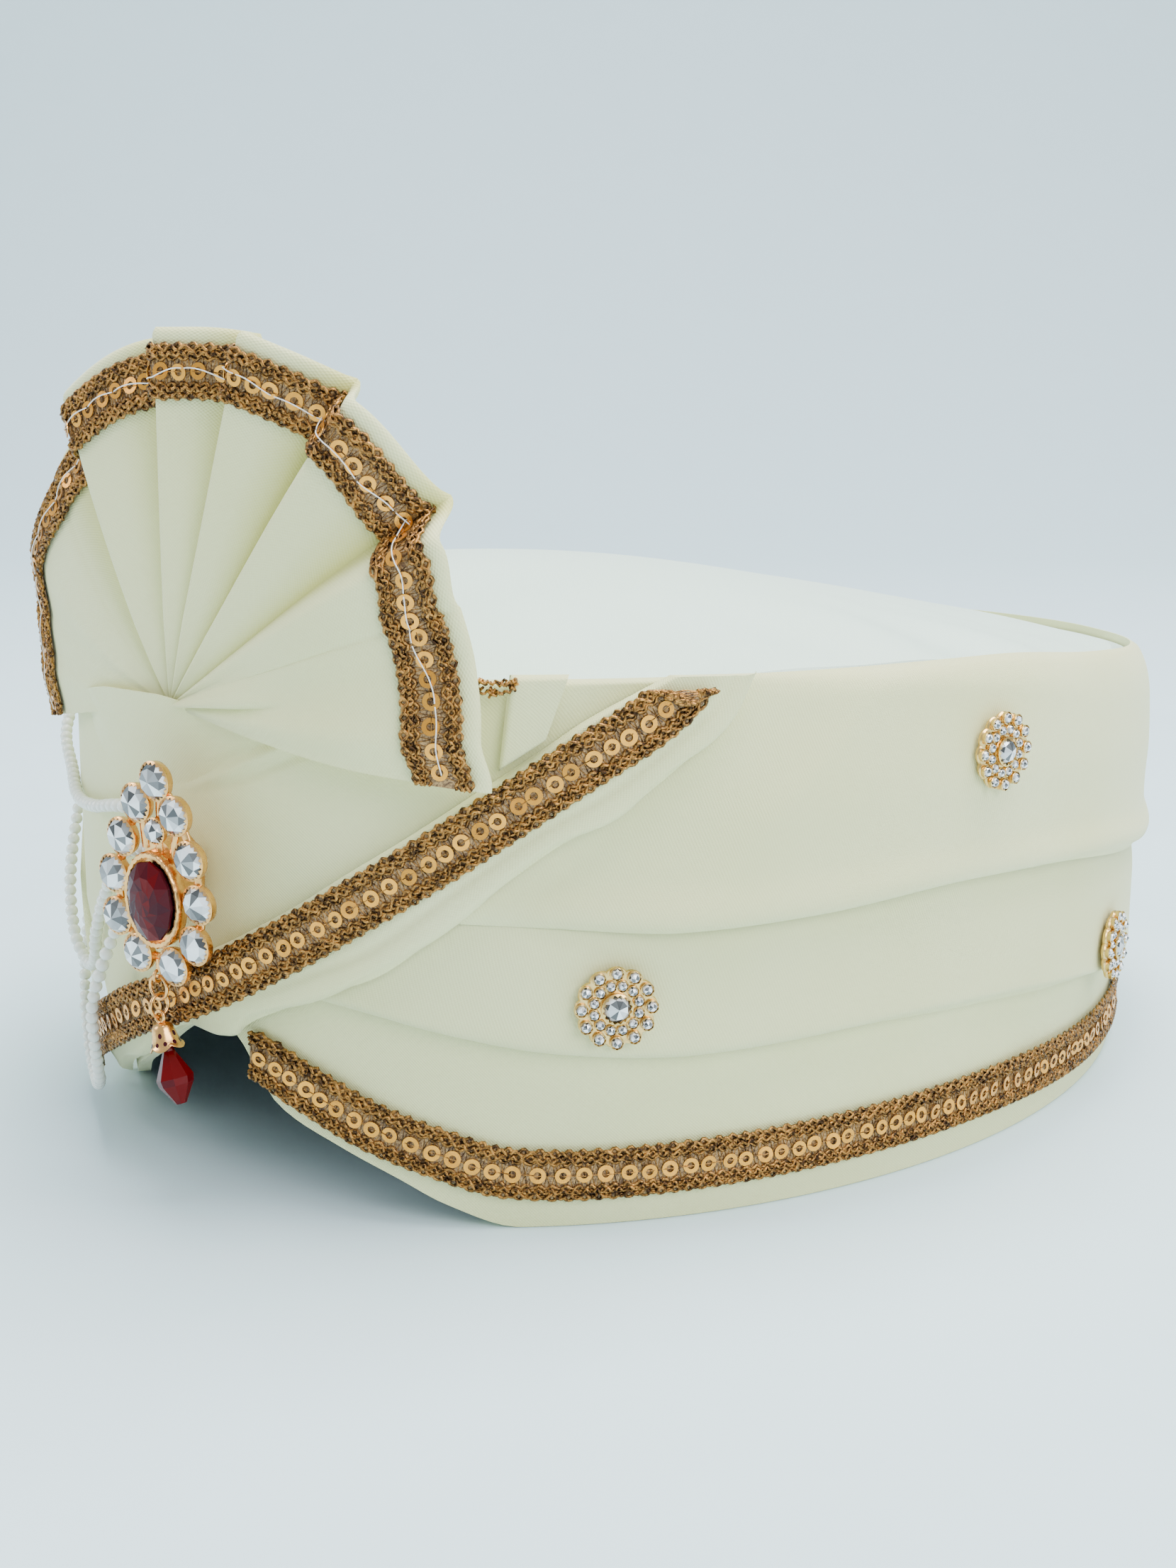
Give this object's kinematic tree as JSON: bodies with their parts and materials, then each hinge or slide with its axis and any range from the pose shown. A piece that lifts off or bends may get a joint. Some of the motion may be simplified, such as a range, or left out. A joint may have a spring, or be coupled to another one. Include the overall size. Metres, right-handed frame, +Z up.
{
  "type": "tied turban",
  "caption": "Stiffened cloth turban cap with wrapped folds, a pleated front fan, gold lace, stone buttons, a brooch with a drop and bead strings.",
  "frame": {"origin": "on the surface that the rim rests on, under the middle of the whole hat's box", "axes": "+Z up, -Y towards the front with the fan and the brooch, +X towards the wearer's left"},
  "size_m": [0.202, 0.2576, 0.1482],
  "materials": {
    "ivory_cloth": "satin",
    "crown_cloth": "satin",
    "gold_braid": "metallic yarn",
    "gold_metal": "polished",
    "button_crystal": "foil-backed stones in pale gold",
    "red_stone": "cut and polished",
    "pearl": "pearly"
  },
  "bodies": {
    "root": {"cap_shell": "crown_cloth", "lower_band": "ivory_cloth", "upper_band": "ivory_cloth", "front_panel": "ivory_cloth", "front_sash": "ivory_cloth", "far_sash": "ivory_cloth", "tuck_strip": "ivory_cloth", "rim_braid": "gold_braid", "sash_braid": "gold_braid", "fan": "ivory_cloth", "fan_braid": "gold_braid", "fan_knot": "ivory_cloth", "button_left_front": "button_crystal", "button_left_top": "button_crystal", "button_left_back": "button_crystal", "button_right_front": "button_crystal", "button_right_top": "button_crystal", "button_right_back": "button_crystal", "brooch_setting": "gold_metal", "brooch_red_stone": "red_stone", "jump_ring_upper": "gold_metal", "jump_ring_lower": "gold_metal", "drop_cap": "gold_metal", "drop_stone": "red_stone", "pearl_string_upper": "pearl", "pearl_string_middle": "pearl", "pearl_string_lower": "pearl", "string_catch": "gold_metal"}
  },
  "joints": []
}
